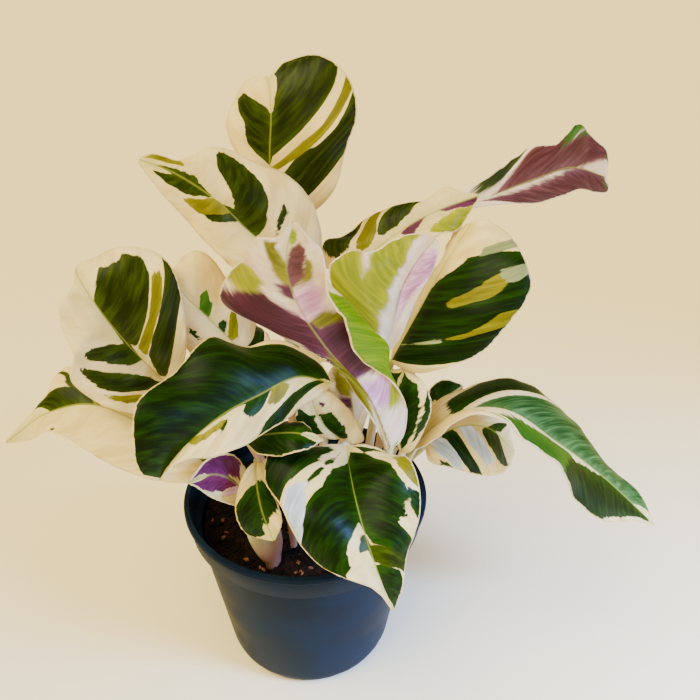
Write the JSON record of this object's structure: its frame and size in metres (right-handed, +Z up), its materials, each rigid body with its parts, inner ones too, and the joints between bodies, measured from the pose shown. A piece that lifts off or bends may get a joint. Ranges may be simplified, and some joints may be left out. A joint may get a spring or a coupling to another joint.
{
  "type": "potted calathea plant",
  "caption": "Prayer plant with broad green and white marbled leaves on slim stalks, purple undersides, standing in soil in a round tapered nursery pot.",
  "frame": {"origin": "centre of the pot's underside, on the surface it stands on", "axes": "+Z up, +X to the picture's right, +Y away from the camera"},
  "size_m": [0.3136, 0.1801, 0.2923],
  "materials": {
    "pot_plastic": "satin moulded polypropylene, dark slate blue",
    "peat_soil": "moist dark peat with bark bits",
    "leaf_blade": "smooth satin leaf, dark green and cream white marbling",
    "leaf_young": "thin young leaf, yellow green and lilac",
    "leaf_underside": "matt leaf underside, purple and pinkish white"
  },
  "bodies": {
    "root": {"nursery_pot": "pot_plastic", "soil": "peat_soil", "leaf_top": "leaf_blade", "leaf_upper_left": "leaf_blade", "leaf_rolled_centre": "leaf_underside", "leaf_young_green": "leaf_young", "leaf_right_broad": "leaf_blade", "leaf_back_long": "leaf_blade", "leaf_far_right": "leaf_underside", "leaf_left_broad": "leaf_blade", "leaf_left_low": "leaf_blade", "leaf_front_left": "leaf_blade", "leaf_front_hanging": "leaf_blade", "leaf_front_small": "leaf_blade", "leaf_centre_small": "leaf_blade", "leaf_behind_centre": "leaf_blade", "leaf_right_arching": "leaf_blade", "leaf_right_under": "leaf_blade", "leaf_right_small": "leaf_blade", "leaf_left_pale": "leaf_blade", "leaf_rim_purple": "leaf_underside", "leaf_rim_small": "leaf_blade", "leaf_centre_young": "leaf_underside", "leaf_back_low_left": "leaf_blade", "leaf_back_middle": "leaf_blade", "leaf_back_low_right": "leaf_blade"}
  },
  "joints": []
}
